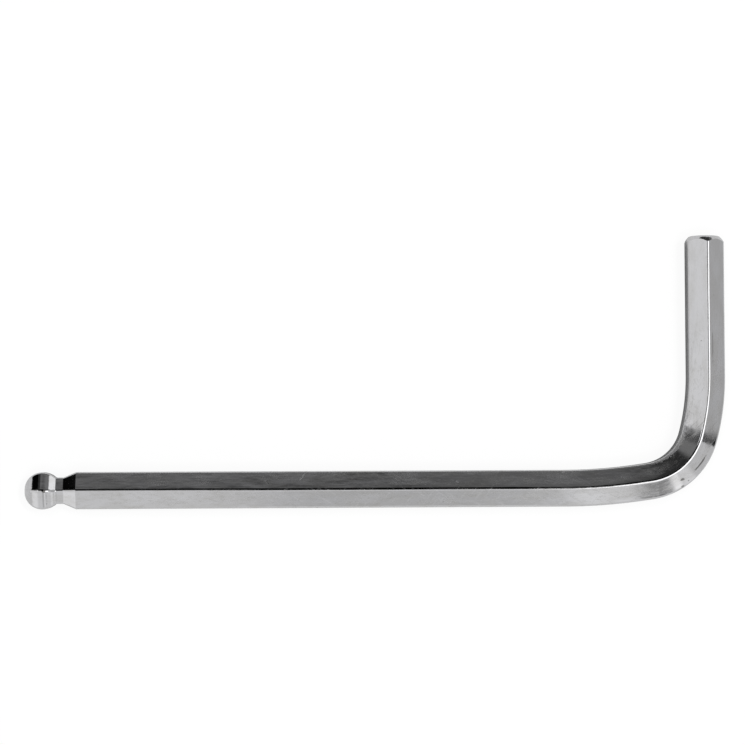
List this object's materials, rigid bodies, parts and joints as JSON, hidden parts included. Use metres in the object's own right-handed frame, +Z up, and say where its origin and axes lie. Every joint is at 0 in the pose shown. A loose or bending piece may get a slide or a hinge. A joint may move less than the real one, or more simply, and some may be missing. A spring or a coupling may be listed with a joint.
{
  "type": "ball-end hex key",
  "caption": "L-shaped hexagonal key, one bent bar with a ball end on its long arm and a chamfered short end.",
  "frame": {"origin": "on the table, under the middle of the key's box as it lies flat", "axes": "+X along the long arm, from the ball end to the bend; +Y along the short arm, away from the long arm; +Z up from the table"},
  "size_m": [0.0764, 0.0296, 0.0045],
  "materials": {
    "hex_key": "bright plated steel with fine handling scratches"
  },
  "bodies": {
    "root": {"hex_key": "hex_key"}
  },
  "joints": []
}
